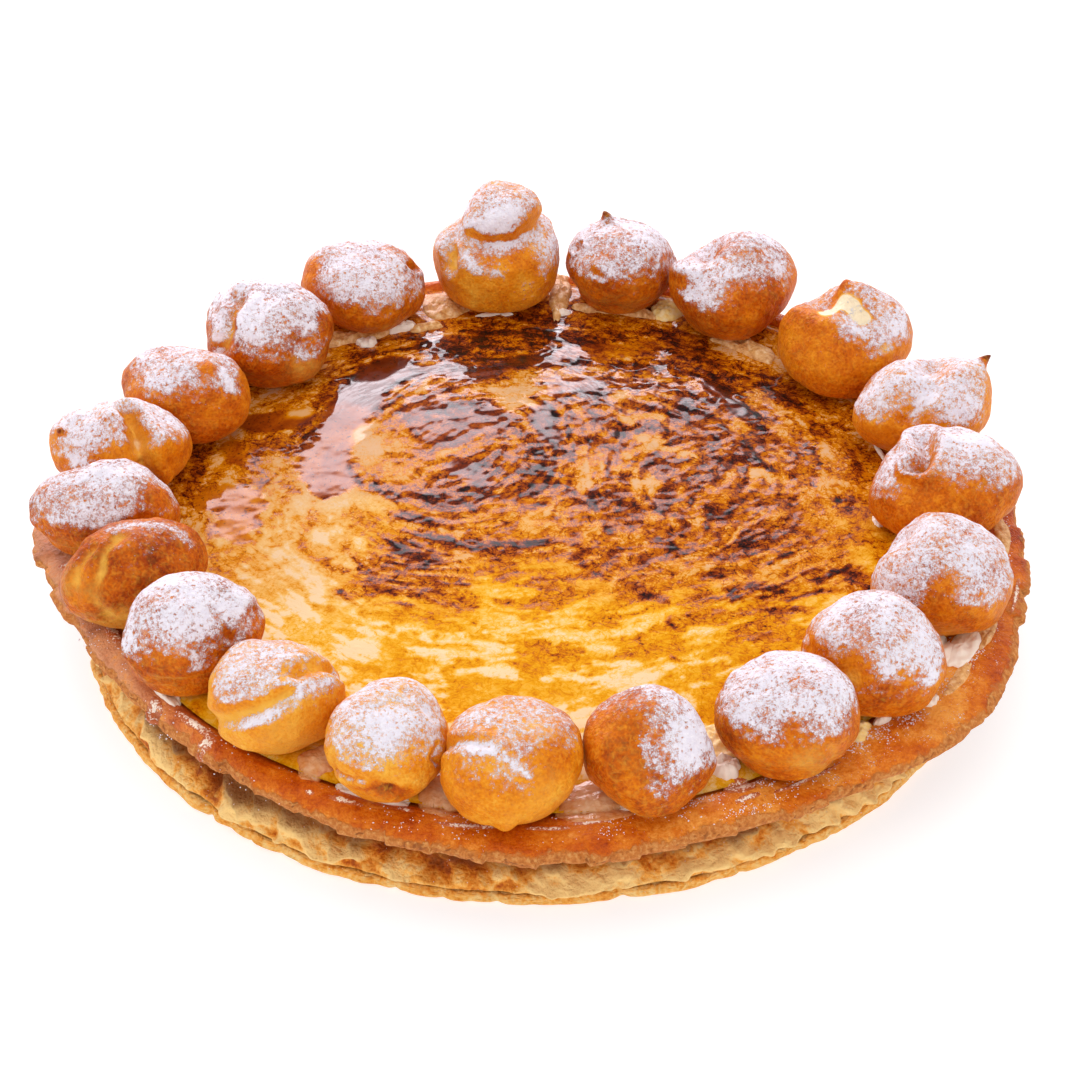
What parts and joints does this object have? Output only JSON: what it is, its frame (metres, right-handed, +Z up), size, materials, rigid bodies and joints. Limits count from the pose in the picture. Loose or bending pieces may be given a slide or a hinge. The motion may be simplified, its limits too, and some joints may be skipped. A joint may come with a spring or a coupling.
{
  "type": "saint-honore cake",
  "caption": "Round, low pastry cake: a puff pastry base carries a browned crust filled with bruleed custard, ringed by a row of choux puffs.",
  "frame": {"origin": "centre of the cake's bounding box, on the surface it rests on", "axes": "+Z up through the cake, -Y towards the front, +X to the right when seen from the front"},
  "size_m": [0.3046, 0.2976, 0.0713],
  "materials": {
    "puff_pastry": "baked puff pastry, pale gold and flaky, dry and matte with browner ridges",
    "crust": "reddish brown baked crust, satin, fine grained, with pale floury patches at the rim's underside",
    "custard": "custard under a glossy coat of burnt sugar, from pale cream yellow through amber to near black swirls",
    "choux": "golden brown choux, satin, dusted with white powdered sugar on top"
  },
  "bodies": {
    "root": {"base": "puff_pastry", "crust": "crust", "custard": "custard", "puff_01": "choux", "puff_02": "choux", "puff_03": "choux", "puff_04": "choux", "puff_05": "choux", "puff_06": "choux", "puff_07": "choux", "puff_08": "choux", "puff_09": "choux", "puff_10": "choux", "puff_11": "choux", "puff_12": "choux", "puff_13": "choux", "puff_14": "choux", "puff_15": "choux", "puff_16": "choux", "puff_17": "choux", "puff_18": "choux", "puff_19": "choux", "puff_20": "choux"}
  },
  "joints": []
}
